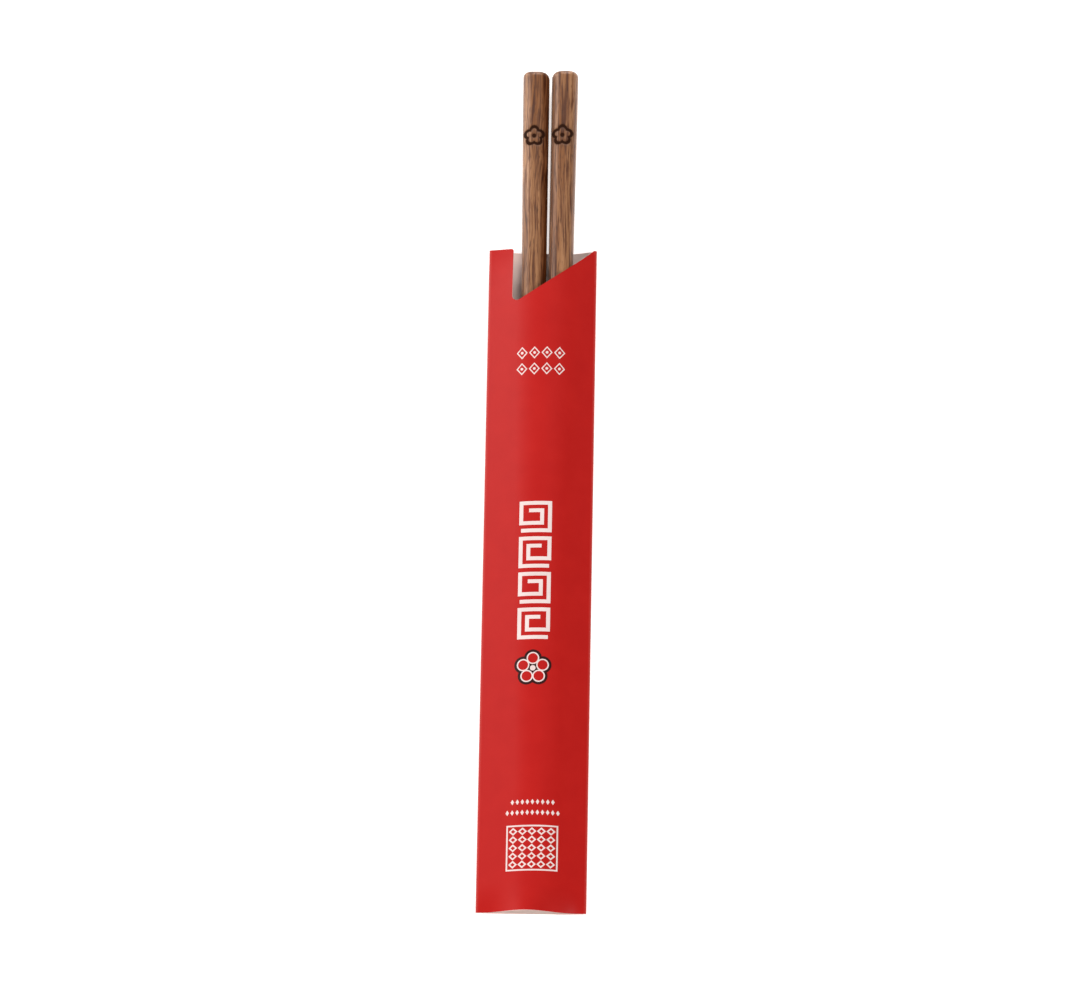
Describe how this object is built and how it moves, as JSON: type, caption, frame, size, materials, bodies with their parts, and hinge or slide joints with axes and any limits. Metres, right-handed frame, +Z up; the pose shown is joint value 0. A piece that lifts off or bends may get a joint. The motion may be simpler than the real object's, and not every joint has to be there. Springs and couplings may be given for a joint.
{
  "type": "pair of chopsticks in a paper sleeve",
  "caption": "Tapered wooden chopsticks with rounded-square heads and round tips, lying side by side in a folded open-ended paper sleeve with a slanted mouth and a side tab.",
  "frame": {"origin": "middle of the whole length and width, on the table that the sleeve's back lies on", "axes": "+X across the sleeve to the right, +Y along the sticks towards their heads, +Z up from the table through the sleeve's front"},
  "size_m": [0.03, 0.239, 0.0086],
  "materials": {
    "wood": "satin",
    "paper": "satin"
  },
  "bodies": {
    "root": {"left_chopstick": "wood", "right_chopstick": "wood", "paper_sleeve": "paper"}
  },
  "joints": []
}
